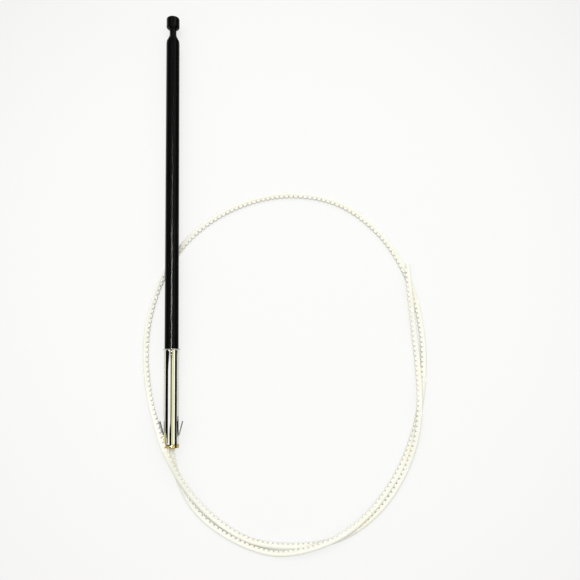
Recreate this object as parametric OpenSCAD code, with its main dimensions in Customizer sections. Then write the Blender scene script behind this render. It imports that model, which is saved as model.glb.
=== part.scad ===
// Telescopic mast for a powered car aerial, lying collapsed on a flat surface with its drive cable.
// Millimetres. The origin is on the mast's axis, in the plane where the guide sleeve's flange seats.
// +Y runs along the mast to its tip, +Z is up, and the surface it lies on is axis_height below.

/* [Outer section] */
// Diameter of the outermost tube
outer_d = 8.7; // [8.4:0.05:9.2]
// Wall of the outermost tube
outer_wall = 0.5; // [0.45:0.01:0.55]
// Diameter of the outermost tube's top edge, where its chamfer ends
rim_d = 8.2; // [7.8:0.05:8.4]
// Length of the chamfer below that edge
rim_chamfer = 2; // [0.5:0.1:4]

/* [Inner sections] */
// Travel of each inner section out of the one that holds it
section_travel = 240; // [150:1:300]
// Diameter of the third tube, inside the outermost one
tube_3_d = 6.5; // [6.4:0.02:6.6]
// Diameter of the second tube, inside the third
tube_2_d = 4.6; // [4.5:0.02:4.7]
// Wall of the second and third tubes
tube_wall = 0.35; // [0.3:0.01:0.38]
// Diameter of the innermost rod
rod_d = 3; // [2.8:0.05:3.1]
// Length of the mouth at a tube's top that is closed in on the next section
mouth_length = 8; // [5:0.5:12]
// Length of the taper between a tube's bore and its mouth
mouth_taper = 0.6; // [0.4:0.1:1.5]
// Small chamfer around the top edge of the second and third tubes
tube_edge = 0.15; // [0.05:0.01:0.25]

/* [Feet and contact springs] */
// Length of a section's brass foot
foot_length = 11; // [10:0.5:16]
// Thickness of a foot's lip under the end of its tube
foot_lip = 1; // [0.6:0.1:2]
// Chamfer at both ends of a foot
foot_chamfer = 0.3; // [0.1:0.05:0.4]
// Height of the spring's groove above the lower end of a foot
groove_rise = 4; // [3:0.5:5]
// Length of a split contact spring
spring_length = 4; // [3:0.25:5]
// Thickness of a contact spring
spring_wall = 0.33; // [0.28:0.01:0.36]
// Width of the split in a contact spring
spring_split = 0.8; // [0.4:0.1:1.5]
// Radius of the hole in the lip of the third tube's foot
foot_3_hole_r = 2.5; // [2.2:0.1:2.7]
// Radius of the hole in the lip of the second tube's foot
foot_2_hole_r = 2.1; // [2:0.05:2.2]
// Radius of the rod's turned-down end inside the ferrule
spigot_r = 1.1; // [0.8:0.05:1.25]
// Depth of the ferrule's socket for the cable
cable_socket = 5; // [3:0.25:5.5]
// Thickness of the web between the ferrule's two sockets
ferrule_web = 1; // [0.5:0.1:2]

/* [Tip cap] */
// Diameter of the knob
cap_d = 8.7; // [7.5:0.1:10]
// Height of the knob's straight side
cap_side = 6.2; // [4:0.1:10]
// Height of the domed top
cap_dome = 1.6; // [1:0.1:4]
// Height of the cone under the knob
cap_cone = 1.9; // [1:0.1:3]
// Diameter of the neck
neck_d = 4.5; // [4:0.1:5.2]
// Height of the neck
neck_length = 3.4; // [2:0.1:8]
// Diameter of the flared base
base_d = 7.2; // [6.8:0.1:7.6]
// Height of the flared base
base_height = 4.3; // [2:0.1:5]
// Depth of the bore that holds the rod
cap_bore = 11; // [6:0.5:14]

/* [Guide sleeve] */
// Length of the barrel below the flange
sleeve_length = 57.5; // [50:0.5:80]
// Wall of the sleeve
sleeve_wall = 0.22; // [0.15:0.01:0.4]
// Diameter of the flange
flange_d = 11.2; // [10.2:0.1:14]
// Thickness of the flange
flange_thick = 0.6; // [0.3:0.05:1]
// Height of a barb's root above the sleeve's lower end
barb_rise = 4.4; // [4:0.1:12]
// Length of a barb
barb_length = 9.4; // [6:0.1:14]
// How far a barb's tip stands out from the barrel
barb_spread = 2.7; // [1:0.05:3.5]
// Width of a barb
barb_width = 3.5; // [2:0.1:4.5]
// Length of the window that a barb is cut from
window_length = 12.4; // [12:0.1:18]

/* [Stop collar] */
// Diameter of the collar
collar_d = 9.8; // [9.6:0.05:10.2]
// Length of the collar
collar_length = 2; // [1.5:0.1:4]
// Thickness of the collar's end wall
collar_wall = 1; // [0.6:0.1:1.3]
// Radius of the hole that the cable leaves by
collar_hole_r = 2.2; // [2:0.05:2.4]
// Length of the collar's spigot inside the tube
spigot_length = 4; // [3:0.25:8]
// Wall of that spigot
spigot_wall = 0.9; // [0.6:0.05:1.2]

/* [Drive cable] */
// Diameter of the cable's round core, without its rack teeth
cable_d = 2.8; // [2.6:0.05:3]
// Gap between the mast and the strand of cable that passes under it
strand_gap = 0.45; // [0.3:0.05:1.5]

/* [Fits] */
// Radial gap between two pieces that slide
slide_gap = 0.05; // [0.03:0.005:0.08]
// Radial gap between a contact spring and the tube that it runs in
spring_gap = 0.03; // [0.02:0.005:0.04]
// Radial gap between the guide sleeve and the outermost tube
sleeve_gap = 0.08; // [0.05:0.01:0.1]
// Gap left at a pressed or crimped seat
press_gap = 0.02; // [0.01:0.005:0.03]
// Gap between two pieces that rest end to end
rest_gap = 0.3; // [0.2:0.05:0.6]

/* [Hidden] */
round_sides = 96;
spill = 1;

// Radii
outer_r = outer_d / 2;
outer_bore_r = outer_r - outer_wall;
tube_3_r = tube_3_d / 2;
tube_3_bore_r = tube_3_r - tube_wall;
tube_2_r = tube_2_d / 2;
tube_2_bore_r = tube_2_r - tube_wall;
rod_r = rod_d / 2;
cable_r = cable_d / 2;
sleeve_bore_r = outer_r + sleeve_gap;
sleeve_r = sleeve_bore_r + sleeve_wall;

// Places along the mast, from the cable's exit up
collar_end = -(sleeve_length + rest_gap + collar_length);
tube_seat = collar_end + collar_wall;
spigot_end = tube_seat + spigot_length;
foot_3_end = spigot_end + rest_gap;
tube_3_end = foot_3_end + foot_lip;
foot_2_end = tube_3_end + rest_gap;
tube_2_end = foot_2_end + foot_lip;
ferrule_end = tube_2_end + rest_gap;
rod_shoulder = ferrule_end + foot_length;
rim = rod_shoulder + section_travel + rest_gap + mouth_taper + mouth_length;
cap_foot = rim + slide_gap;
neck_foot = cap_foot + base_height;
knob_foot = neck_foot + neck_length;
side_foot = knob_foot + cap_cone;
dome_foot = side_foot + cap_side;
rod_top = cap_foot + cap_bore - rest_gap;

// The dome is part of a sphere, whose outline is drawn in a few steps
dome_r = (pow(cap_d / 2, 2) + pow(cap_dome, 2)) / (2 * cap_dome);
dome_angle = asin(cap_d / 2 / dome_r);
dome_steps = 10;

// The cable's route: x, y and the height of its middle above the surface
axis_height = outer_r + cable_d + strand_gap;
cable_sides = 8;
rings_per_span = 2;
cable_route = [
    [0, collar_end, axis_height], [0.5, -67, 7], [4, -80, 4], [11, -94.5, 1.7], [36.8, -115.9, 1.4],
    [64, -124.6, 1.9], [84.2, -121.6, 4.6], [103.8, -114, 4.4], [120, -102.5, 2.8], [133.5, -87.5, 1.4],
    [148, -61.5, 1.4], [157, -29, 1.4], [159, 5, 1.4], [152.5, 40.5, 1.4], [135.5, 72, 1.4],
    [108.3, 94.1, 1.4], [74, 100.8, 1.4], [40.2, 93.3, 1.4], [10.9, 74.1, 1.4], [-8.6, 44.9, 1.4],
    [-17.5, 11, 1.4], [-17.5, -13, 1.5], [-14, -32.5, 4.2], [-9, -47, 9], [-5.5, -56, 12.6],
    [-1.5, -65, 12.8], [4.5, -77.5, 8.6], [12.5, -90, 4.2], [26.5, -104.5, 1.5], [47.9, -117, 1.4],
    [72.5, -120.6, 1.4], [102.3, -116.6, 1.4], [127.5, -100, 1.4], [144.5, -76, 2.2], [151.5, -57, 4.2],
    [154.5, -36, 4.7], [155, -12, 1.9], [153.5, 12, 2.4], [152, 32, 4.5], [151, 52, 4.3]];
last_point = len(cable_route) - 1;

function span(i) = norm(cable_route[i + 1] - cable_route[i]);
function step(i) = (cable_route[i + 1] - cable_route[i]) / span(i);
function slope(i) =
    i == 0 ? [0, -1, 0]
    : i == last_point ? step(i - 1)
    : (step(i - 1) * span(i) + step(i) * span(i - 1)) / (span(i - 1) + span(i));
function between(i, t) =
    cable_route[i] * (2 * t * t * t - 3 * t * t + 1)
    + slope(i) * span(i) * (t * t * t - 2 * t * t + t)
    + cable_route[i + 1] * (3 * t * t - 2 * t * t * t)
    + slope(i + 1) * span(i) * (t * t * t - t * t);
function lying(p) = [p[0], p[1], max(p[2], cable_r) - axis_height];
cable_line = [
    for (i = [0 : last_point - 1])
        for (k = [0 : rings_per_span - 1])
            lying(between(i, k / rings_per_span)),
    lying(cable_route[last_point])];
last_ring = len(cable_line) - 1;
function heading(k) =
    k == 0 ? [0, -1, 0]
    : k == last_ring ? cable_line[k] - cable_line[k - 1]
    : cable_line[k + 1] - cable_line[k - 1];
function unit(v) = v / norm(v);
function cable_ring(k) =
    let (
        ahead = unit(heading(k)),
        side = unit(cross([0, 0, 1], ahead)),
        up = cross(ahead, side))
    [for (a = [0 : cable_sides - 1])
        cable_line[k] + cable_r * (side * cos(360 * a / cable_sides) + up * sin(360 * a / cable_sides))];

// Lays a piece that is drawn along Z along the mast
module along_mast() {
    rotate([-90, 0, 0])
        children();
}

module turned(outline) {
    along_mast()
        rotate_extrude($fn = round_sides)
            polygon(outline);
}

// A tube whose top is closed in to a mouth
module section_tube(tube_r, bore_r, mouth_r, edge_r, edge_length, end) {
    turned([
        [bore_r, end],
        [tube_r, end],
        [tube_r, rim - edge_length],
        [edge_r, rim],
        [mouth_r, rim],
        [mouth_r, rim - mouth_length],
        [bore_r, rim - mouth_length - mouth_taper]]);
}

// The outline of a foot's outside, from its lower end up, with the spring's groove
function foot_side(bore_r, end) =
    let (
        foot_r = bore_r - slide_gap,
        groove_r = bore_r - spring_gap - spring_wall - press_gap,
        groove_from = end + groove_rise,
        groove_to = groove_from + spring_length + 2 * slide_gap)
    [
        [foot_r - foot_chamfer, end],
        [foot_r, end + foot_chamfer],
        [foot_r, groove_from],
        [groove_r, groove_from],
        [groove_r, groove_to],
        [foot_r, groove_to],
        [foot_r, end + foot_length - foot_chamfer],
        [foot_r - foot_chamfer, end + foot_length]];

// A brass foot, pressed on the lower end of a tube
module foot(bore_r, tube_r, hole_r, end) {
    turned(concat(
        foot_side(bore_r, end),
        [
            [tube_r + press_gap, end + foot_length],
            [tube_r + press_gap, end + foot_lip],
            [hole_r, end + foot_lip],
            [hole_r, end]]));
}

// A split spring ring, in a foot's groove
module contact_spring(bore_r, end) {
    spring_r = bore_r - spring_gap;
    spring_from = end + groove_rise + slide_gap;
    along_mast()
        difference() {
            translate([0, 0, spring_from])
                cylinder(h = spring_length, r = spring_r, $fn = round_sides);
            translate([0, 0, spring_from - spill])
                cylinder(h = spring_length + 2 * spill, r = spring_r - spring_wall, $fn = round_sides);
            translate([0, -spring_split / 2, spring_from - spill])
                cube([spring_r + spill, spring_split, spring_length + 2 * spill]);
        }
}

module tip_cap() {
    bore_r = rod_r + press_gap;
    flare = base_d / 2 - neck_d / 2;
    color([0.03, 0.03, 0.035])
        turned(concat(
            [
                [bore_r, cap_foot],
                [base_d / 2, cap_foot],
                [neck_d / 2 + 0.97 * flare, cap_foot + 0.14 * base_height],
                [neck_d / 2 + 0.87 * flare, cap_foot + 0.27 * base_height],
                [neck_d / 2 + 0.5 * flare, cap_foot + 0.52 * base_height],
                [neck_d / 2 + 0.19 * flare, cap_foot + 0.78 * base_height],
                [neck_d / 2 + 0.05 * flare, cap_foot + 0.92 * base_height],
                [neck_d / 2, neck_foot],
                [neck_d / 2, knob_foot],
                [cap_d / 2, side_foot]],
            [for (k = [0 : dome_steps])
                let (a = dome_angle * (1 - k / dome_steps))
                [dome_r * sin(a), dome_foot + cap_dome - dome_r * (1 - cos(a))]],
            [
                [0, cap_foot + cap_bore],
                [bore_r, cap_foot + cap_bore]]));
}

module inner_rod() {
    spigot_foot = ferrule_end + cable_socket + ferrule_web + press_gap;
    color([0.78, 0.79, 0.8])
        turned([
            [0, spigot_foot],
            [spigot_r, spigot_foot],
            [spigot_r, rod_shoulder + press_gap],
            [rod_r, rod_shoulder + press_gap],
            [rod_r, rod_top],
            [0, rod_top]]);
}

module rod_ferrule() {
    web_from = ferrule_end + cable_socket;
    web_to = web_from + ferrule_web;
    color([0.8, 0.62, 0.28])
        turned(concat(
            foot_side(tube_2_bore_r, ferrule_end),
            [
                [spigot_r + press_gap, ferrule_end + foot_length],
                [spigot_r + press_gap, web_to],
                [0, web_to],
                [0, web_from],
                [cable_r + press_gap, web_from],
                [cable_r + press_gap, ferrule_end]]));
}

module rod_contact_spring() {
    color([0.72, 0.5, 0.24])
        contact_spring(tube_2_bore_r, ferrule_end);
}

module cable_inner_end() {
    color([0.93, 0.91, 0.84])
        along_mast()
            translate([0, 0, collar_end])
                cylinder(h = ferrule_end + cable_socket - press_gap - collar_end, r = cable_r, $fn = round_sides);
}

module tube_2() {
    color([0.8, 0.8, 0.79])
        section_tube(tube_2_r, tube_2_bore_r, rod_r + slide_gap, tube_2_r - tube_edge, tube_edge, tube_2_end);
}

module foot_2() {
    color([0.8, 0.62, 0.28])
        foot(tube_3_bore_r, tube_2_r, foot_2_hole_r, foot_2_end);
}

module contact_spring_2() {
    color([0.72, 0.5, 0.24])
        contact_spring(tube_3_bore_r, foot_2_end);
}

module tube_3() {
    color([0.8, 0.8, 0.79])
        section_tube(tube_3_r, tube_3_bore_r, tube_2_r + slide_gap, tube_3_r - tube_edge, tube_edge, tube_3_end);
}

module foot_3() {
    color([0.8, 0.62, 0.28])
        foot(outer_bore_r, tube_3_r, foot_3_hole_r, foot_3_end);
}

module contact_spring_3() {
    color([0.72, 0.5, 0.24])
        contact_spring(outer_bore_r, foot_3_end);
}

module outer_tube() {
    color([0.05, 0.05, 0.055])
        section_tube(outer_r, outer_bore_r, tube_3_r + slide_gap, rim_d / 2, rim_chamfer, tube_seat + press_gap);
}

// Caps the outermost tube's lower end, and lets the cable out
module stop_collar() {
    collar_r = collar_d / 2;
    seat_r = outer_r + press_gap;
    plug_r = outer_bore_r - press_gap;
    color([0.8, 0.6, 0.25])
        turned([
            [collar_hole_r, collar_end],
            [collar_r - foot_chamfer, collar_end],
            [collar_r, collar_end + foot_chamfer],
            [collar_r, collar_end + collar_length],
            [seat_r, collar_end + collar_length],
            [seat_r, tube_seat],
            [plug_r, tube_seat],
            [plug_r, spigot_end],
            [plug_r - spigot_wall, spigot_end],
            [plug_r - spigot_wall, tube_seat],
            [collar_hole_r, tube_seat]]);
}

// A barb's outline from its root to its free end, with a small inward curl at the end
module barb_outline() {
    root = -sleeve_length + barb_rise;
    thick = sleeve_wall;
    polygon([
        [sleeve_bore_r - thick, root - spill],
        [sleeve_r, root - spill],
        [sleeve_r + 0.04 * barb_spread, root],
        [sleeve_r + 0.34 * barb_spread, root + 0.28 * barb_length],
        [sleeve_r + 0.7 * barb_spread, root + 0.62 * barb_length],
        [sleeve_r + 0.97 * barb_spread, root + 0.9 * barb_length],
        [sleeve_r + barb_spread, root + 0.96 * barb_length],
        [sleeve_r + 0.93 * barb_spread, root + barb_length],
        [sleeve_r + 0.93 * barb_spread - thick, root + barb_length],
        [sleeve_r + 0.96 * barb_spread - thick, root + 0.93 * barb_length],
        [sleeve_r + 0.7 * barb_spread - thick, root + 0.62 * barb_length],
        [sleeve_r + 0.34 * barb_spread - thick, root + 0.28 * barb_length],
        [sleeve_bore_r - thick, root]]);
}

module barb() {
    difference() {
        linear_extrude(height = barb_width, center = true)
            barb_outline();
        rotate([90, 0, 0])
            cylinder(h = 4 * sleeve_length, r = sleeve_bore_r, center = true, $fn = round_sides);
    }
}

// One drawn piece: the barrel, the flange at its top and the two barbs cut from it
module guide_sleeve() {
    window_width = barb_width + 2 * sleeve_wall;
    window_from = -sleeve_length + barb_rise;
    color([0.85, 0.83, 0.76])
        union() {
            difference() {
                turned([
                    [sleeve_bore_r, -sleeve_length],
                    [sleeve_r, -sleeve_length],
                    [sleeve_r, 0],
                    [flange_d / 2, 0],
                    [flange_d / 2, flange_thick],
                    [sleeve_bore_r, flange_thick]]);
                translate([-sleeve_r - spill, window_from, -window_width / 2])
                    cube([2 * (sleeve_r + spill), window_length, window_width]);
            }
            barb();
            mirror([1, 0, 0])
                barb();
        }
}

module drive_cable() {
    points = [for (k = [0 : last_ring]) each cable_ring(k)];
    walls = [
        for (k = [0 : last_ring - 1])
            for (a = [0 : cable_sides - 1])
                let (
                    b = (a + 1) % cable_sides,
                    here = k * cable_sides,
                    next = here + cable_sides)
                each [[here + a, here + b, next + b], [here + a, next + b, next + a]]];
    first_cap = [for (a = [1 : cable_sides - 2]) [0, a + 1, a]];
    end_ring = last_ring * cable_sides;
    end_cap = [for (a = [1 : cable_sides - 2]) [end_ring, end_ring + a, end_ring + a + 1]];
    color([0.93, 0.91, 0.84])
        polyhedron(points = points, faces = concat(walls, first_cap, end_cap), convexity = 10);
}

tip_cap();
inner_rod();
rod_ferrule();
rod_contact_spring();
cable_inner_end();
tube_2();
foot_2();
contact_spring_2();
tube_3();
foot_3();
contact_spring_3();
outer_tube();
stop_collar();
guide_sleeve();
drive_cable();
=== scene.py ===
"""Studio view of a telescopic mast for a powered car aerial, with its toothed drive cable.

Metres. The origin is on the mast's axis, in the plane where the guide sleeve's flange seats.
+Y runs along the mast to its tip and +Z is up.
"""
import math

import bmesh
import bpy
from bpy.props import FloatProperty, FloatVectorProperty, IntProperty, PointerProperty
from mathutils import Matrix, Vector


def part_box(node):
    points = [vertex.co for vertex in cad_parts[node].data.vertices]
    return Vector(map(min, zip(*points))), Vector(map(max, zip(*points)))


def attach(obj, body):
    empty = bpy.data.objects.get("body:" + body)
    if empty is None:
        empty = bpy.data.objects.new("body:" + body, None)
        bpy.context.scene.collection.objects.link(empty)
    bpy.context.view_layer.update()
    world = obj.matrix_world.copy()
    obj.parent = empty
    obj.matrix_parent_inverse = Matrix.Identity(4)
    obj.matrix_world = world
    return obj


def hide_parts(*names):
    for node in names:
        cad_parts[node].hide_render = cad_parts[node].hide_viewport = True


bl_info = {
    "name": "Telescopic aerial mast",
    "version": (1, 0, 0),
    "blender": (4, 5, 0),
    "location": "3D View > Sidebar > Aerial",
    "description": "Builds a collapsed car aerial mast with its coiled drive cable, and a stage for it",
    "category": "Add Mesh",
}

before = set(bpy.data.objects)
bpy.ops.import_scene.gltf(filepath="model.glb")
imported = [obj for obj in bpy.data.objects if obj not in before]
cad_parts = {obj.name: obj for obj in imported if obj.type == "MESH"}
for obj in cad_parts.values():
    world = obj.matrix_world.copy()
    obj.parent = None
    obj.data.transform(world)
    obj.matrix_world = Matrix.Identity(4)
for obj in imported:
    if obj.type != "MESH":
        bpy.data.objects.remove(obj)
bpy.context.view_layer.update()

MM = 0.001

# Points nearer to each other than this are merged, and places that differ by less than CLOSE count as one
MERGE = 0.0001 * MM
CLOSE = 0.001 * MM

# A long straight of an outline gets a row of points this far from each end, which keeps its shading even
GUIDE = 0.6 * MM

# Gap between two pieces that are pressed together
FIT = 0.02 * MM

# Details that a user wouldn't change
COLLAR_HEIGHT = 2 * MM
COLLAR_FLOOR = 1 * MM
PLUG_WALL = 0.9 * MM
KNOB_BORE_DEPTH = 11 * MM
ROD_FOOT_RADIUS = 1.1 * MM
ROD_FOOT_LENGTH = 5.5 * MM
ROD_EDGE = 0.08 * MM
INNER_RIM = 0.15 * MM
INNER_EDGE = 0.06 * MM
SHEET_EDGE = 0.04 * MM
SLEEVE_FOOT_ROW = 0.3 * MM
BARREL_MARGIN = 0.05 * MM
TOOTH_FOOT = 0.9 * MM
TOOTH_EDGE = 0.16 * MM
FIRST_TOOTH = 1.5 * MM
POINTS_PER_SPAN = 24

# Places on the mast, from the CAD frame
AXIS_HEIGHT = -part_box("drive_cable")[0].z
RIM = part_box("outer_tube")[1].y
TUBE_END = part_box("outer_tube")[0].y
COLLAR_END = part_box("stop_collar")[0].y
COLLAR_TOP = COLLAR_END + COLLAR_HEIGHT
CAP_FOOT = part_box("tip_cap")[0].y
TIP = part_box("tip_cap")[1].y
SLEEVE_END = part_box("guide_sleeve")[0].y

# The flare of the knob's base: share of its height, and share of what it stands out from the neck
BASE_SHAPE = [
    (0, 1), (0.14, 0.97), (0.27, 0.87), (0.4, 0.69), (0.52, 0.5),
    (0.65, 0.33), (0.78, 0.19), (0.92, 0.05), (1, 0)]

# A spring barb's bends: share of its spread, and share of its length
BARB_SHAPE = [
    (0.10, 0.06), (0.26, 0.2), (0.44, 0.38), (0.62, 0.56),
    (0.80, 0.74), (0.93, 0.87), (0.985, 0.94), (0.97, 0.985), (0.93, 1.0)]

# The drive cable's route, in millimetres: x, y and the height of its middle above the floor
CABLE_ROUTE = [
    (0, -59.8, 7.6), (0.5, -67, 7), (4, -80, 4), (11, -94.5, 1.7), (36.8, -115.9, 1.4),
    (64, -124.6, 1.9), (84.2, -121.6, 4.6), (103.8, -114, 4.4), (120, -102.5, 2.8), (133.5, -87.5, 1.4),
    (148, -61.5, 1.4), (157, -29, 1.4), (159, 5, 1.4), (152.5, 40.5, 1.4), (135.5, 72, 1.4),
    (108.3, 94.1, 1.4), (74, 100.8, 1.4), (40.2, 93.3, 1.4), (10.9, 74.1, 1.4), (-8.6, 44.9, 1.4),
    (-17.5, 11, 1.4), (-17.5, -13, 1.5), (-14, -32.5, 4.2), (-9, -47, 9), (-5.5, -56, 12.6),
    (-1.5, -65, 12.8), (4.5, -77.5, 8.6), (12.5, -90, 4.2), (26.5, -104.5, 1.5), (47.9, -117, 1.4),
    (72.5, -120.6, 1.4), (102.3, -116.6, 1.4), (127.5, -100, 1.4), (144.5, -76, 2.2), (151.5, -57, 4.2),
    (154.5, -36, 4.7), (155, -12, 1.9), (153.5, 12, 2.4), (152, 32, 4.5), (151, 52, 4.3),
]

# The camera: its place, its turns about Y, X and Z in degrees, its sensor's width in millimetres, and its
# lens as a share of that width
CAMERA_PLACE = (0.0747, -0.0253, 0.4017)
CAMERA_TURNS = (-0.04, 8.71, -1.35)
SENSOR = 36
CAMERA_LENS = 640.5 / 580


def length(label, note, value, low=0.0):
    """A size in millimetres, kept in metres."""
    return FloatProperty(
        name=label, description=note, default=value * MM, min=low * MM, unit="LENGTH", precision=5)


def colour(label, note, value):
    """A colour of a finish."""
    return FloatVectorProperty(
        name=label, description=note, default=value, min=0, max=1, size=3, subtype="COLOR")


class AerialSizes(bpy.types.PropertyGroup):
    sides: IntProperty(name="Sides", description="Sides of every turned piece", default=96, min=24, max=256)
    edge: length("Edge", "Rounding of a turned piece's edges", 0.1)

    outer_bore: length("Outer bore", "Radius inside the outermost tube", 3.85, 1)
    rim_radius: length("Rim", "Radius of the outermost tube's top edge", 4.1, 1)
    rim_chamfer: length("Rim chamfer", "Length of the chamfer below the rim", 2)
    tube_wall: length("Inner tube wall", "Wall of the second and third tubes", 0.35)
    mouth_length: length("Mouth", "Length of the closed-in mouth at a tube's top", 8)
    mouth_taper: length("Mouth taper", "Length of the taper below a mouth", 0.6)
    slide_gap: length("Slide gap", "Radial gap between two pieces that slide", 0.05)

    knob_dome: length("Knob dome", "Height of the knob's domed top", 1.6)
    knob_cone: length("Knob cone", "Height of the cone under the knob", 1.9)
    knob_edge: length("Knob edge", "Rounding of the knob's edges", 0.45)
    neck_radius: length("Neck", "Radius of the knob's neck", 2.25)
    neck_length: length("Neck length", "Height of the knob's neck", 3.4)
    base_radius: length("Knob base", "Radius of the knob's flared base", 3.6)
    base_height: length("Knob base height", "Height of the knob's flared base", 4.3)

    sleeve_radius: length("Sleeve", "Outside radius of the guide sleeve", 4.65, 1)
    sleeve_sheet: length("Sleeve sheet", "Thickness of the guide sleeve's sheet", 0.22)
    flange_radius: length("Flange", "Radius of the guide sleeve's flange", 5.6, 1)
    flange_thick: length("Flange thickness", "Thickness of the folded flange", 0.6)
    flange_fillet: length("Flange fillet", "Radius under the flange", 0.35)
    window_low: length("Window foot", "Height of a window's foot above the sleeve's end", 4.4)
    window_length: length("Window length", "Length of a window", 12.4)
    window_width: length("Window width", "Width of a window", 3.94)
    barb_width: length("Barb width", "Width of a spring barb", 3.5)
    barb_length: length("Barb length", "Length of a spring barb", 9.4)
    barb_spread: length("Barb spread", "How far a barb's tip stands out", 2.7)

    collar_hole: length("Collar hole", "Radius of the hole that the cable leaves by", 2.2)
    collar_chamfer: length("Collar chamfer", "Chamfer round the collar's lower edge", 0.3)

    cable_core: length("Cable core", "Radius of the cable's round core", 1.4)
    tooth_pitch: length("Tooth pitch", "Distance from one rack tooth to the next", 3.1416, 1)
    tooth_tip: length("Tooth tip", "Distance of a tooth's tip from the cable's middle", 2.28)
    tooth_width: length("Tooth width", "Width of a tooth across the cable", 2.4)
    tooth_root: length("Tooth root", "Length of a tooth at its root", 2.3)
    tooth_land: length("Tooth land", "Length of a tooth at its tip", 2.0)


class AerialColours(bpy.types.PropertyGroup):
    knob: colour("Knob", "Gloss black moulding of the knob", (0.002, 0.002, 0.002))
    tube: colour("Outer tube", "Satin black finish of the outermost tube", (0.0022, 0.0022, 0.0023))
    nickel: colour("Sleeve", "Bright plating of the guide sleeve", (0.87, 0.865, 0.80))
    chrome: colour("Inner tubes", "Bright plating of the second and third tubes", (0.80, 0.80, 0.79))
    steel: colour("Rod", "Ground steel of the innermost rod", (0.72, 0.73, 0.74))
    brass: colour("Brass", "Turned brass of the collar and feet", (0.76, 0.58, 0.2))
    bronze: colour("Spring bronze", "Rolled bronze of the contact springs", (0.66, 0.44, 0.20))
    nylon: colour("Cable", "Ivory nylon of the drive cable", (0.92, 0.917, 0.868))
    floor: colour("Floor", "Pale surface that the mast lies on", (0.80, 0.80, 0.79))


class Value:
    """A node's output. An expression on values adds the Math nodes for it."""

    def __init__(self, shader, socket):
        self.shader = shader
        self.socket = socket

    def maths(self, operation, *operands):
        """A Math node on values or numbers."""
        return self.shader.add("ShaderNodeMath", {"operation": operation}, dict(enumerate(operands)))

    def __add__(self, other):
        return self.maths("ADD", self, other)

    def __sub__(self, other):
        return self.maths("SUBTRACT", self, other)

    def __rsub__(self, other):
        return self.maths("SUBTRACT", other, self)

    def __mul__(self, other):
        return self.maths("MULTIPLY", self, other)

    def __pow__(self, other):
        return self.maths("POWER", self, other)

    def __abs__(self):
        return self.maths("ABSOLUTE", self)

    __radd__ = __add__
    __rmul__ = __mul__

    def between(self, low, high):
        """0 below low and 1 above high, with a smooth step between them."""
        settings = {"interpolation_type": "SMOOTHSTEP", "clamp": True}
        return self.shader.add("ShaderNodeMapRange", settings, {0: self, 1: low, 2: high, 3: 0.0, 4: 1.0})


class Shader:
    """The node tree of a material or a world."""

    def __init__(self, owner):
        owner.use_nodes = True
        self.owner = owner
        self.tree = owner.node_tree
        self.tree.nodes.clear()

    def add(self, kind, settings=(), inputs=(), output=0):
        """Adds a node: its settings first, then the values or links of its sockets."""
        node = self.tree.nodes.new(kind)
        for key, value in dict(settings).items():
            setattr(node, key, value)
        for key, value in dict(inputs).items():
            if isinstance(value, Value):
                self.tree.links.new(value.socket, node.inputs[key])
            elif node.inputs[key].type == "RGBA":
                node.inputs[key].default_value = (*value[:3], 1)
            else:
                node.inputs[key].default_value = value
        return Value(self, node.outputs[output]) if node.outputs else node

    def place(self):
        """Object coordinates as three values, in metres."""
        return self.split(self.add("ShaderNodeTexCoord", output="Object"))

    def split(self, vector):
        """A vector's three values."""
        first = self.add("ShaderNodeSeparateXYZ", inputs={0: vector})
        return [Value(self, s) for s in first.socket.node.outputs]

    def join(self, x, y, z):
        """A vector of three values."""
        return self.add("ShaderNodeCombineXYZ", inputs={0: x, 1: y, 2: z})

    def noise(self, vector, scale, detail=2.0, rough=0.5):
        """Noise from 0 to 1."""
        inputs = {"Vector": vector, "Scale": scale, "Detail": detail, "Roughness": rough}
        return self.add("ShaderNodeTexNoise", inputs=inputs)

    def blend(self, factor, a, b):
        """A colour between a and b."""
        settings = {"data_type": "RGBA", "clamp_factor": True}
        return self.add("ShaderNodeMix", settings, {0: factor, 6: a, 7: b}, output=2)

    def bump(self, height, distance, strength=1.0):
        """Relief of a height from 0 to 1, over a distance in metres."""
        inputs = {"Height": height, "Distance": distance, "Strength": strength}
        return self.add("ShaderNodeBump", inputs=inputs)

    def rays(self, kind):
        """1 for one kind of ray, and 0 for the others."""
        return Value(self, self.add("ShaderNodeLightPath").socket.node.outputs[kind])

    def surface(self, **sockets):
        """Ends a material in the standard surface, with its sockets by name."""
        names = {k.replace("_", " ").title().replace("Ior", "IOR"): v for k, v in sockets.items()}
        body = self.add("ShaderNodeBsdfPrincipled", inputs=names)
        self.add("ShaderNodeOutputMaterial", inputs={"Surface": body})
        return self.owner


def finish(name):
    """A new material to build a finish in."""
    return Shader(bpy.data.materials.new(name))


def shade(tone, factor):
    """A colour made darker or lighter."""
    return tuple(min(1.0, c * factor) for c in tone)


def gloss_black(tone):
    """Moulded gloss plastic, with faint haze and handling marks."""
    s = finish("gloss_black")
    x, y, z = s.place()
    where = s.join(x, y, z)
    haze = s.noise(where, 420, 3)
    marks = s.noise(s.join(x * 6, y, z * 6), 900, 4).between(0.62, 0.8)
    ripple = s.noise(where, 1500, 2)
    return s.surface(
        base_color=s.blend(haze, tone, shade(tone, 1.8)),
        roughness=0.14 + haze * 0.08 + marks * 0.1,
        specular_ior_level=0.16,
        normal=s.bump(ripple, 0.00002, 0.3))


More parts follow.
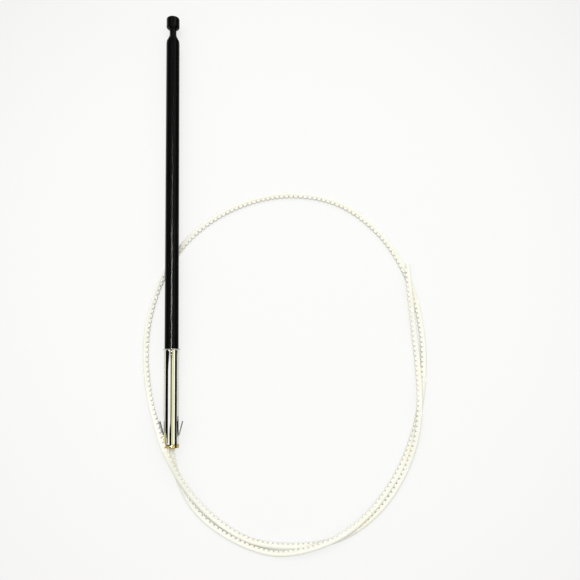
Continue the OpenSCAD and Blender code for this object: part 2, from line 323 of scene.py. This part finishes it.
def satin_black(tone):
    """Black plated tube, drawn lengthwise and polished round, with light rubs from sliding."""
    s = finish("satin_black")
    x, y, z = s.place()
    drawn = s.noise(s.join(x, y * 0.02, z), 2600, 3)
    rings = s.noise(s.join(x * 0.04, y, z * 0.04), 5200, 2)
    cloud = s.noise(s.join(x, y * 0.4, z), 160, 3)
    rubs = s.noise(s.join(x, y * 0.05, z), 900, 5, 0.65).between(0.66, 0.78)
    return s.surface(
        base_color=s.blend(rubs * 0.35 + cloud * 0.3, tone, shade(tone, 3.2)),
        roughness=0.17 + cloud * 0.07 + drawn * 0.05 + rubs * 0.12,
        specular_ior_level=0.08,
        normal=s.bump(drawn * 0.6 + rings * 0.4, 0.000012, 0.35))


def bright_plate(name, tone, warm, rough, bright_radius=1.0):
    """Bright plating on drawn tube: fine draw lines, slight stains, and a painted reflection of brass at
    its left foot.

    Beyond a radius, where it was bent outwards, it is painted dark grey as painted shade, and rougher.
    """
    s = finish(name)
    x, y, z = s.place()
    drawn = s.noise(s.join(x, y * 0.015, z), 3800, 3)
    stain = s.noise(s.join(x, y * 0.5, z), 190, 4, 0.6)
    dull = s.noise(s.join(x, y * 0.3, z), 520, 4).between(0.56, 0.78)
    # Painted shade: on the bent-out barbs beyond the radius the colour is painted dark grey; they are also
    # made rougher
    barb_shade_and_dull = abs(x).between(bright_radius, bright_radius + 0.3 * MM) * (1 - y.between(-0.005, -0.003))
    plate = s.blend(stain.between(0.35, 0.75), tone, warm)
    # Painted reflection: a brass-coloured tint on the left side near the sleeve's foot
    painted_brass_reflection = (x * -1).between(2.2 * MM, 2.9 * MM) * (1 - y.between(-0.0535, -0.0485)) * 0.9
    plate = s.blend(painted_brass_reflection, plate, (tone[0] * 1.05, tone[1] * 0.92, tone[2] * 0.42))
    return s.surface(
        base_color=s.blend(barb_shade_and_dull, plate, shade(tone, 0.34)),
        metallic=1.0,
        roughness=rough + drawn * 0.025 + dull * 0.05 + barb_shade_and_dull * 0.3,
        normal=s.bump(drawn, 0.000008, 0.3))


def turned_brass(tone):
    """Brass off the lathe: fine rings round the axis and slight tarnish in patches."""
    s = finish("turned_brass")
    x, y, z = s.place()
    rings = s.noise(s.join(x * 0.03, y, z * 0.03), 7000, 2)
    tarnish = s.noise(s.join(x, y, z), 700, 4, 0.6).between(0.42, 0.72)
    return s.surface(
        base_color=s.blend(tarnish, tone, shade(tone, 0.72)),
        metallic=1.0,
        roughness=0.15 + rings * 0.06 + tarnish * 0.12,
        normal=s.bump(rings, 0.00001, 0.4))


def rolled_bronze(tone):
    """Spring strip, rolled smooth, with rub marks along the mast."""
    s = finish("rolled_bronze")
    x, y, z = s.place()
    rub = s.noise(s.join(x, y * 0.05, z), 3200, 3)
    heat = s.noise(s.join(x, y, z), 480, 3).between(0.4, 0.7)
    return s.surface(
        base_color=s.blend(heat, tone, shade(tone, 0.7)),
        metallic=1.0,
        roughness=0.26 + rub * 0.14,
        normal=s.bump(rub, 0.00001, 0.3))


def ground_steel(tone):
    """Centreless-ground rod: fine marks round the rod and a few long rubs."""
    s = finish("ground_steel")
    x, y, z = s.place()
    grind = s.noise(s.join(x * 0.03, y, z * 0.03), 9000, 3)
    rub = s.noise(s.join(x, y * 0.03, z), 2200, 4).between(0.55, 0.75)
    return s.surface(
        base_color=s.blend(rub, tone, shade(tone, 0.82)),
        metallic=1.0,
        roughness=0.16 + grind * 0.1 + rub * 0.08,
        normal=s.bump(grind, 0.00001, 0.4))


def ivory_nylon(tone):
    """Moulded nylon: waxy, slightly mottled, yellower in patches, with a fine flow grain."""
    s = finish("ivory_nylon")
    x, y, z = s.place()
    where = s.join(x, y, z)
    mottle = s.noise(where, 260, 3)
    patch = s.noise(where, 28, 2).between(0.35, 0.7)
    grain = s.noise(where, 2400, 3)
    yellow = (tone[0] * 0.985, tone[1] * 0.97, tone[2] * 0.85)
    return s.surface(
        base_color=s.blend(mottle * 0.5 + patch * 0.5, tone, yellow),
        roughness=0.42 + mottle * 0.12 + grain * 0.06,
        specular_ior_level=0.25,
        normal=s.bump(grain * 0.5 + mottle * 0.5, 0.00003, 0.4))


def pale_floor(tone):
    """Smooth matt board, that the camera sees partly by its own light, so that the shadows stay faint."""
    s = finish("pale_floor")
    x, y, z = s.place()

    # The board itself. Seen in reflections only, it is painted dark on the right, as a painted reflection
    # in
    # the metal: from 30 mm out beside the sleeve, and from 8 mm out beside the black tube
    fleck = s.noise(s.join(x, y, z), 240, 4)
    dark_side = (x + y.between(-0.003, 0.003) * 0.022).between(0.03, 0.04)
    painted_dark_reflection = s.rays("Is Glossy Ray") * dark_side * 0.95
    lit = s.blend(painted_dark_reflection, s.blend(fleck, tone, shade(tone, 0.985)), (0.02, 0.02, 0.02))
    board = s.add("ShaderNodeBsdfDiffuse", inputs={"Color": lit})

    # Its own light is painted to fade a little away from the middle of the coil, and in gaps of less than 2
    # mm, such as those between the rack teeth, it is painted darker and yellower: painted shade
    middle_x, middle_y = 0.075, 0.03
    dim = ((x - middle_x) ** 2 + (y - middle_y) ** 2).between(0, 0.16) * 0.2
    open_sky = s.add("ShaderNodeAmbientOcclusion", {"samples": 8}, {"Distance": 2 * MM}, output="AO")
    painted_gap_shade = (1.0 - open_sky).between(0.42, 0.9) * 0.45
    painted_gap_tint = s.blend(painted_gap_shade * 1.6, (1.0, 1.0, 0.985), (1.0, 0.985, 0.76))
    glow = s.add("ShaderNodeEmission", inputs={"Color": painted_gap_tint, "Strength": (1.0 - dim) * (1.0 - painted_gap_shade)})
    seen = s.rays("Is Camera Ray") * 0.75
    mixed = s.add("ShaderNodeMixShader", inputs={0: seen, 1: board, 2: glow})
    s.add("ShaderNodeOutputMaterial", inputs={"Surface": mixed})
    return s.owner


def with_guides(outline, closed):
    """Adds a point near each end of every long straight, so that its shading stays even along it."""
    guided = []
    following = outline[1:] + outline[:1] if closed else outline[1:]
    for a, b in zip(outline, following):
        guided.append(a)
        straight = math.dist(a, b)
        if straight > 3 * GUIDE:
            share = GUIDE / straight
            guided += [
                (a[0] + (b[0] - a[0]) * part, a[1] + (b[1] - a[1]) * part) for part in (share, 1 - share)]
    return guided if closed else guided + [outline[-1]]


def lathe(outline, sides, closed=True):
    """Spins an outline of (radius, place along the mast) points round the mast's axis."""
    bm = bmesh.new()
    line = [bm.verts.new((radius, place, 0)) for radius, place in with_guides(outline, closed)]
    pairs = list(zip(line, line[1:]))
    if closed:
        pairs.append((line[-1], line[0]))
    edges = [bm.edges.new(pair) for pair in pairs]
    bmesh.ops.spin(
        bm, geom=line + edges, cent=(0, 0, 0), axis=(0, 1, 0), angle=math.tau, steps=sides, use_merge=True)
    bmesh.ops.remove_doubles(bm, verts=bm.verts, dist=MERGE)
    bmesh.ops.recalc_face_normals(bm, faces=bm.faces)
    return bm


def soften(bm, width, segments, sharper_than, beyond=-1.0):
    """Rounds the edges that are sharper than an angle in degrees and lie beyond a place along the mast."""
    sharp = [
        e for e in bm.edges if len(e.link_faces) == 2 and e.verts[0].co.y > beyond
        and math.degrees(e.calc_face_angle()) > sharper_than]
    bmesh.ops.bevel(
        bm, geom=sharp, offset=width, offset_type="OFFSET", affect="EDGES",
        segments=segments, profile=0.5, material=-1, clamp_overlap=True)


def arc(middle, radius, start, end, steps):
    """Outline points on an arc, its angles in degrees from the radial direction."""
    angles = [math.radians(start + (end - start) * k / steps) for k in range(steps + 1)]
    return [(middle[0] + radius * math.cos(a), middle[1] + radius * math.sin(a)) for a in angles]


def add_piece(name, data, material, body, nodes=()):
    """Makes the object of a finished mesh or curve, which rides on a body and stands for CAD nodes."""
    data.materials.append(material)
    piece = bpy.data.objects.new(name, data)
    bpy.context.scene.collection.objects.link(piece)
    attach(piece, body)
    if nodes:
        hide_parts(*nodes)
    return piece


def refinish(node, material):
    """Gives a CAD node another finish."""
    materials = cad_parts[node].data.materials
    materials.clear()
    materials.append(material)


def to_mesh(name, bm, smooth_under=35):
    """A mesh with smooth shading, except over edges sharper than an angle in degrees."""
    mesh = bpy.data.meshes.new(name)
    bm.to_mesh(mesh)
    bm.free()
    mesh.shade_smooth()
    mesh.set_sharp_from_angle(angle=math.radians(smooth_under))
    return mesh


def tube_outline(radius, bore, mouth, rim_radius, chamfer, end, sizes):
    """A tube whose top is closed in to a mouth."""
    mouth_foot = RIM - sizes.mouth_length
    return [
        (bore, end), (radius, end), (radius, RIM - chamfer), (rim_radius, RIM),
        (mouth, RIM), (mouth, mouth_foot), (bore, mouth_foot - sizes.mouth_taper),
    ]


def route_points(steps):
    """The cable's middle line on the same curve as its solid, in metres, with steps points a span."""
    knots = [Vector(p) for p in CABLE_ROUTE]
    spans = [(b - a).length for a, b in zip(knots, knots[1:])]
    ways = [(b - a) / s for a, b, s in zip(knots, knots[1:], spans)]
    slopes = [Vector((0, -1, 0))]
    for i in range(1, len(knots) - 1):
        slopes.append((ways[i - 1] * spans[i] + ways[i] * spans[i - 1]) / (spans[i - 1] + spans[i]))
    slopes.append(ways[-1])
    line = []
    for i, span in enumerate(spans):
        for k in range(steps):
            t = k / steps
            line.append(
                knots[i] * (2 * t ** 3 - 3 * t ** 2 + 1) + slopes[i] * span * (t ** 3 - 2 * t ** 2 + t)
                + knots[i + 1] * (3 * t ** 2 - 2 * t ** 3) + slopes[i + 1] * span * (t ** 3 - t ** 2))
    line.append(knots[-1])
    core = bpy.context.scene.aerial_sizes.cable_core / MM
    return [Vector((p.x, p.y, max(p.z, core))) * MM - Vector((0, 0, AXIS_HEIGHT)) for p in line]


def stations(line, first, spacing):
    """Frames at even distances along a line: columns are inward, ahead and up."""
    frames = []
    travelled, due = 0.0, first
    for a, b in zip(line, line[1:]):
        step = (b - a).length
        while due <= travelled + step:
            ahead = (b - a).normalized()
            inward = Vector((0, 0, 1)).cross(ahead).normalized()
            up = inward.cross(ahead)
            turn = Matrix((inward, ahead, up)).transposed().to_4x4()
            frames.append(Matrix.Translation(a.lerp(b, (due - travelled) / step)) @ turn)
            due += spacing
        travelled += step
    return frames


class AERIAL_OT_camera(bpy.types.Operator):
    """Sets the camera almost straight above the mast"""
    bl_idname = "aerial.camera"
    bl_label = "Camera"

    def execute(self, context):
        data = bpy.data.cameras.new("camera")
        data.sensor_width = SENSOR
        data.lens = SENSOR * CAMERA_LENS
        camera = bpy.data.objects.new("camera", data)
        context.scene.collection.objects.link(camera)
        pan, tilt, roll = (math.radians(turn) for turn in CAMERA_TURNS)
        camera.matrix_world = (
            Matrix.Translation(CAMERA_PLACE)
            @ Matrix.Rotation(pan, 4, "Y") @ Matrix.Rotation(tilt, 4, "X") @ Matrix.Rotation(roll, 4, "Z"))
        context.scene.camera = camera
        return {"FINISHED"}


class AERIAL_OT_drive_cable(bpy.types.Operator):
    """Lays the nylon drive cable on its route: a round core with rack teeth on its inner side"""
    bl_idname = "aerial.drive_cable"
    bl_label = "Drive cable"

    def execute(self, context):
        sizes = context.scene.aerial_sizes
        nylon = ivory_nylon(context.scene.aerial_colours.nylon)
        line = route_points(POINTS_PER_SPAN)

        curve = bpy.data.curves.new("cable_core", "CURVE")
        curve.dimensions = "3D"
        curve.bevel_depth = sizes.cable_core
        curve.bevel_resolution = 4
        curve.use_fill_caps = True
        curve.twist_mode = "Z_UP"
        spline = curve.splines.new("POLY")
        spline.points.add(len(line) - 1)
        for point, place in zip(spline.points, line):
            point.co = (*place, 1)
        core = add_piece("cable_core", curve, nylon, "outer_section", ["drive_cable"])

        tooth = self.tooth(sizes)
        rack = bmesh.new()
        for place in stations(line, FIRST_TOOTH, sizes.tooth_pitch)[:-1]:
            fresh = len(rack.verts)
            rack.from_mesh(tooth)
            bmesh.ops.transform(rack, matrix=place, verts=rack.verts[:][fresh:])
        bpy.data.meshes.remove(tooth)
        teeth = add_piece("cable_rack", to_mesh("cable_rack", rack), nylon, "outer_section")

        refinish("cable_inner_end", nylon)
        return {"FINISHED"}

    @staticmethod
    def tooth(sizes):
        """One tooth, along +X from the cable's middle: a block that narrows to its land."""
        bm = bmesh.new()
        height = sizes.tooth_tip - TOOTH_FOOT
        middle = TOOTH_FOOT + height / 2
        block = Matrix.Translation((middle, 0, 0)) @ Matrix.Diagonal(
            (height, sizes.tooth_root, sizes.tooth_width, 1))
        bmesh.ops.create_cube(bm, size=1, matrix=block)
        tip = [v for v in bm.verts if v.co.x > middle]
        narrow = sizes.tooth_land / sizes.tooth_root
        bmesh.ops.scale(bm, vec=(1, narrow, 0.9), verts=tip)
        bmesh.ops.bevel(
            bm, geom=bm.edges[:], offset=TOOTH_EDGE, offset_type="OFFSET", affect="EDGES",
            segments=1, profile=0.5, material=-1, clamp_overlap=True)
        mesh = bpy.data.meshes.new("tooth")
        bm.to_mesh(mesh)
        bm.free()
        return mesh


class AERIAL_OT_outer_tube(bpy.types.Operator):
    """Builds the black outermost tube, with the brass collar at its lower end"""
    bl_idname = "aerial.outer_tube"
    bl_label = "Outer tube and collar"

    def execute(self, context):
        sizes = context.scene.aerial_sizes
        colours = context.scene.aerial_colours
        tube_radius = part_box("outer_tube")[1].x
        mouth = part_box("tube_3")[1].x + sizes.slide_gap
        outline = tube_outline(
            tube_radius, sizes.outer_bore, mouth, sizes.rim_radius, sizes.rim_chamfer, TUBE_END, sizes)
        bm = lathe(outline, sizes.sides)
        soften(bm, 0.8 * sizes.edge, 3, 20)
        add_piece(
            "mast_outer_tube", to_mesh("mast_outer_tube", bm), satin_black(colours.tube),
            "outer_section", ["outer_tube"])

        collar_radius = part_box("stop_collar")[1].x
        collar_inside = tube_radius + FIT
        plug = sizes.outer_bore - FIT
        plug_bore = plug - PLUG_WALL
        plug_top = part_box("stop_collar")[1].y
        seat = COLLAR_END + COLLAR_FLOOR
        bm = lathe([
            (sizes.collar_hole, COLLAR_END), (collar_radius - sizes.collar_chamfer, COLLAR_END),
            (collar_radius, COLLAR_END + sizes.collar_chamfer), (collar_radius, COLLAR_TOP),
            (collar_inside, COLLAR_TOP), (collar_inside, seat), (plug, seat), (plug, plug_top),
            (plug_bore, plug_top), (plug_bore, seat), (sizes.collar_hole, seat),
        ], sizes.sides)
        soften(bm, sizes.edge, 2, 20)
        add_piece(
            "collar_ring", to_mesh("collar_ring", bm), turned_brass(colours.brass),
            "outer_section", ["stop_collar"])
        return {"FINISHED"}


class AERIAL_OT_guide_sleeve(bpy.types.Operator):
    """Builds the guide sleeve from one sheet: barrel, folded flange, two windows and their spring barbs"""
    bl_idname = "aerial.guide_sleeve"
    bl_label = "Guide sleeve"

    def execute(self, context):
        sizes = context.scene.aerial_sizes
        colours = context.scene.aerial_colours
        radius, fillet, thick = sizes.sleeve_radius, sizes.flange_fillet, sizes.flange_thick
        roll = thick / 2
        outline = (
            [(radius, SLEEVE_END), (radius, SLEEVE_END + SLEEVE_FOOT_ROW)]
            + arc((radius + fillet, -fillet), fillet, 180, 90, 5)
            + arc((sizes.flange_radius - roll, roll), roll, -90, 90, 8)
            + [(radius - sizes.sleeve_sheet + FIT, thick)])
        bm = lathe(outline, sizes.sides, closed=False)
        if sum(f.normal.x * f.calc_center_median().x for f in bm.faces) < 0:
            bmesh.ops.reverse_faces(bm, faces=bm.faces)
        low = SLEEVE_END + sizes.window_low
        high = low + sizes.window_length
        half, barb_half = sizes.window_width / 2, sizes.barb_width / 2
        cuts = [((0, low, 0), (0, 1, 0)), ((0, high, 0), (0, 1, 0))]
        cuts += [((0, 0, z), (0, 0, 1)) for z in (-half, -barb_half, barb_half, half)]
        below_flange = -1 * MM
        for place, normal in cuts:
            near = [f for f in bm.faces if f.calc_center_median().y < below_flange]
            near += list({e for f in near for e in f.edges} | {v for f in near for v in f.verts})
            bmesh.ops.bisect_plane(bm, geom=near, dist=MERGE, plane_co=place, plane_no=normal)
        gone = [
            f for f in bm.faces
            if low < f.calc_center_median().y < high and abs(f.calc_center_median().z) < half]
        bmesh.ops.delete(bm, geom=gone, context="FACES")
        for side in (1, -1):
            self.barb(bm, side, low, barb_half, sizes)
        mesh = to_mesh("sleeve_shell", bm, 50)
        nickel = bright_plate(
            "bright_nickel", colours.nickel, shade(colours.nickel, 0.92), 0.03, radius + BARREL_MARGIN)
        sleeve = add_piece("sleeve_shell", mesh, nickel, "sleeve", ["guide_sleeve"])
        wall = sleeve.modifiers.new("sheet", "SOLIDIFY")
        wall.thickness = sizes.sleeve_sheet
        wall.offset = -1
        wall.use_even_offset = True
        edge = sleeve.modifiers.new("edges", "BEVEL")
        edge.width = SHEET_EDGE
        edge.segments = 2
        edge.limit_method = "ANGLE"
        edge.angle_limit = math.radians(50)
        return {"FINISHED"}

    @staticmethod
    def barb(bm, side, low, half, sizes):
        """Bends a barb out of a window's foot: the window's edge is drawn out step by step."""
        strip = [
            e for e in bm.edges if e.is_boundary
            and all(abs(v.co.y - low) < CLOSE and abs(v.co.z) < half + CLOSE for v in e.verts)
            and all(v.co.x * side > 0 for v in e.verts)]
        out_before, up_before = 0.0, 0.0
        for out, up in BARB_SHAPE:
            made = bmesh.ops.extrude_edge_only(bm, edges=strip)["geom"]
            strip = [g for g in made if isinstance(g, bmesh.types.BMEdge)]
            shift = Vector((
                side * (out - out_before) * sizes.barb_spread, (up - up_before) * sizes.barb_length, 0))
            moved = [g for g in made if isinstance(g, bmesh.types.BMVert)]
            bmesh.ops.translate(bm, vec=shift, verts=moved)
            out_before, up_before = out, up
            strip = [e for e in strip if e.is_boundary and abs(e.verts[0].co.y - e.verts[1].co.y) < CLOSE]


class AERIAL_OT_inner_sections(bpy.types.Operator):
    """Builds the two inner tubes and the innermost rod, and finishes their hidden fittings"""
    bl_idname = "aerial.inner_sections"
    bl_label = "Inner sections"

    def execute(self, context):
        sizes = context.scene.aerial_sizes
        colours = context.scene.aerial_colours
        chrome = bright_plate("bright_tube", colours.chrome, shade(colours.chrome, 0.93), 0.06)
        rod_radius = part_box("inner_rod")[1].x
        inside = {"tube_3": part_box("tube_2")[1].x, "tube_2": rod_radius}
        tubes = (
            ("tube_3", "mast_third_tube", "third_section"),
            ("tube_2", "mast_second_tube", "second_section"))
        for node, name, body in tubes:
            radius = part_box(node)[1].x
            outline = tube_outline(
                radius, radius - sizes.tube_wall, inside[node] + sizes.slide_gap,
                radius - INNER_RIM, INNER_RIM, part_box(node)[0].y, sizes)
            bm = lathe(outline, sizes.sides)
            soften(bm, INNER_EDGE, 2, 20)
            add_piece(name, to_mesh(name, bm), chrome, body, [node])

        low, high = (corner.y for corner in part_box("inner_rod"))
        shoulder = low + ROD_FOOT_LENGTH
        bm = lathe([
            (0, low), (ROD_FOOT_RADIUS, low), (ROD_FOOT_RADIUS, shoulder),
            (rod_radius, shoulder), (rod_radius, high), (0, high),
        ], sizes.sides, closed=False)
        soften(bm, ROD_EDGE, 2, 20)
        add_piece(
            "mast_rod", to_mesh("mast_rod", bm), ground_steel(colours.steel),
            "rod", ["inner_rod"])

        brass = bpy.data.materials["turned_brass"]
        bronze = rolled_bronze(colours.bronze)
        fittings = {
            "rod_ferrule": brass, "foot_2": brass, "foot_3": brass,
            "rod_contact_spring": bronze, "contact_spring_2": bronze, "contact_spring_3": bronze}
        for node, material in fittings.items():
            refinish(node, material)
        return {"FINISHED"}


class AERIAL_OT_knob(bpy.types.Operator):
    """Builds the gloss black knob with its neck and flared base"""
    bl_idname = "aerial.knob"
    bl_label = "Knob"

    def execute(self, context):
        sizes = context.scene.aerial_sizes
        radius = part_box("tip_cap")[1].x
        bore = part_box("inner_rod")[1].x + FIT
        bore_top = CAP_FOOT + KNOB_BORE_DEPTH
        neck_foot = CAP_FOOT + sizes.base_height
        knob_foot = neck_foot + sizes.neck_length
        side_foot = knob_foot + sizes.knob_cone
        flare = sizes.base_radius - sizes.neck_radius
        swell = [
            (sizes.neck_radius + flare * out, CAP_FOOT + sizes.base_height * up) for up, out in BASE_SHAPE]
        dome_radius = (radius ** 2 + sizes.knob_dome ** 2) / (2 * sizes.knob_dome)
        widest = math.degrees(math.asin(radius / dome_radius))
        dome = arc((0, TIP - dome_radius), dome_radius, 90 - widest, 90, 12)
        outline = (
            [(0, bore_top), (bore, bore_top), (bore, CAP_FOOT)]
            + swell + [(sizes.neck_radius, knob_foot), (radius, side_foot)] + dome[:-1] + [(0, TIP)])
        bm = lathe(outline, sizes.sides, closed=False)
        above_neck = knob_foot + 0.1 * MM
        soften(bm, sizes.knob_edge, 4, 24, above_neck)
        soften(bm, sizes.edge, 2, 24)
        add_piece(
            "mast_knob", to_mesh("mast_knob", bm, 45), gloss_black(context.scene.aerial_colours.knob),
            "rod", ["tip_cap"])
        return {"FINISHED"}


class AERIAL_OT_stage(bpy.types.Operator):
    """Lays the pale floor and sets the lamps and the surroundings"""
    bl_idname = "aerial.stage"
    bl_label = "Stage"

    def execute(self, context):
        bm = bmesh.new()
        bmesh.ops.create_grid(bm, x_segments=1, y_segments=1, size=3)
        bmesh.ops.translate(bm, vec=(0, 0, -AXIS_HEIGHT), verts=bm.verts)
        mesh = bpy.data.meshes.new("floor")
        bm.to_mesh(mesh)
        bm.free()
        mesh.materials.append(pale_floor(context.scene.aerial_colours.floor))
        floor = bpy.data.objects.new("floor", mesh)
        context.scene.collection.objects.link(floor)

        self.lamp("key_lamp", place=(0.0, 0.6, 0.97), target=(0.07, 0.0, 0.0), size=0.6, power=4.1)
        self.surroundings(context.scene)
        context.scene.view_settings.view_transform = "Standard"
        return {"FINISHED"}

    @staticmethod
    def lamp(name, place, target, size, power):
        """A square soft lamp at a place, turned to a target. The metal doesn't show it."""
        data = bpy.data.lights.new(name, "AREA")
        data.size = size
        data.energy = power
        lamp = bpy.data.objects.new(name, data)
        bpy.context.scene.collection.objects.link(lamp)
        way = Vector(target) - Vector(place)
        lamp.matrix_world = Matrix.Translation(place) @ way.to_track_quat("-Z", "Y").to_matrix().to_4x4()
        lamp.visible_glossy = False

    @staticmethod
    def surroundings(scene):
        """Plain light all round; bright soft boxes on both sides and a strip light show in the metal.

        Directions are given by across, the degrees from straight up towards +X, and by y, from -1 to 1
        along the mast: the camera sees the sleeve reflect y below 0.065, and the tube reflect y above it.
        """
        world = bpy.data.worlds.new("studio")
        scene.world = world
        s = Shader(world)
        x, y, z = s.split(s.add("ShaderNodeTexCoord", output="Generated"))
        across = s.add("ShaderNodeMath", {"operation": "ARCTAN2"}, {0: x, 1: z}) * (180 / math.pi)

        # The left box is narrower over the tube, where its outer edge moves in by 20 degrees, and at the
        # sleeve's foot, where its inner edge moves out by 14
        outer = across - y.between(0.03, 0.065) * 20
        inner = across + (1 - y.between(-0.06, -0.045)) * 14
        left_box = outer.between(-41, -38) * (1 - inner.between(-4, -1))
        shade_box = across.between(14, 16) * (1 - across.between(27, 31))
        pale_box = across.between(27, 31) * (1 - across.between(43, 46))
        right_box = across.between(43, 46) * (1 - across.between(61, 64))
        boxes = left_box * 1.1 + shade_box * 1.05 + pale_box * 0.72 + right_box * 1.35

        # The strip light makes the fine highlight on the black tube, and fades towards the tip
        line = across.between(6.5, 7.5) * (1 - across.between(10, 11)) * y.between(0.068, 0.078)
        strip = line * (1 - y.between(0.08, 0.3)) * 470

        # The boxes dim near the ends of the mast, and right under the sleeve's flange
        away = 1 - abs(y).between(0.6, 0.95) * 0.5
        notch = across.between(-26, 2) * (1 - across.between(24, 30)) * y.between(0.046, 0.056)
        level = boxes * away * (1 - notch * 0.75) + strip + 0.004
        yellowness = (
            across.between(6, 12) * (1 - across.between(40, 48) * 0.7)
            * (1 - y.between(0.064, 0.07) * 0.6))
        warm = s.blend(yellowness, (0.99, 1.0, 0.98), (0.98, 0.96, 0.62))
        studio = s.add("ShaderNodeBackground", inputs={"Color": warm, "Strength": level})

        # What lights the object: plain white light from above, brighter towards the tip's side
        overhead = 0.27 + z.between(0.0, 0.9) * 0.62 + y.between(-0.3, 0.8) * z.between(0, 0.3) * 0.35
        plain = s.add("ShaderNodeBackground", inputs={"Color": (1, 1, 1), "Strength": overhead})

        # The camera sees the backdrop plain white
        backdrop = s.add("ShaderNodeBackground", inputs={"Color": (1, 1, 1), "Strength": 1.0})
        lit = s.add("ShaderNodeMixShader", inputs={0: s.rays("Is Glossy Ray"), 1: plain, 2: studio})
        shown = s.add("ShaderNodeMixShader", inputs={0: s.rays("Is Camera Ray"), 1: lit, 2: backdrop})
        s.add("ShaderNodeOutputWorld", inputs={"Surface": shown})


class AERIAL_PT_panel(bpy.types.Panel):
    """Lists the aerial's pieces and its stage"""
    bl_idname = "AERIAL_PT_panel"
    bl_label = "Aerial mast"
    bl_space_type = "VIEW_3D"
    bl_region_type = "UI"
    bl_category = "Aerial"

    def draw(self, context):
        for operator in OPERATORS:
            self.layout.operator(operator.bl_idname)
        for group in (context.scene.aerial_sizes, context.scene.aerial_colours):
            box = self.layout.box()
            for name in group.__annotations__:
                box.prop(group, name)


OPERATORS = (
    AERIAL_OT_camera, AERIAL_OT_drive_cable, AERIAL_OT_outer_tube, AERIAL_OT_guide_sleeve,
    AERIAL_OT_inner_sections, AERIAL_OT_knob, AERIAL_OT_stage)
CLASSES = (AerialSizes, AerialColours, *OPERATORS, AERIAL_PT_panel)


def register():
    """Adds the pieces' operators and the panel."""
    for cls in CLASSES:
        bpy.utils.register_class(cls)
    bpy.types.Scene.aerial_sizes = PointerProperty(type=AerialSizes)
    bpy.types.Scene.aerial_colours = PointerProperty(type=AerialColours)


def unregister():
    """Takes them away again."""
    del bpy.types.Scene.aerial_colours
    del bpy.types.Scene.aerial_sizes
    for cls in reversed(CLASSES):
        bpy.utils.unregister_class(cls)


def main():
    """Builds everything in order."""
    register()
    bpy.ops.aerial.camera()
    bpy.ops.aerial.drive_cable()
    bpy.ops.aerial.outer_tube()
    bpy.ops.aerial.guide_sleeve()
    bpy.ops.aerial.inner_sections()
    bpy.ops.aerial.knob()
    bpy.ops.aerial.stage()


if __name__ == "__main__":
    main()
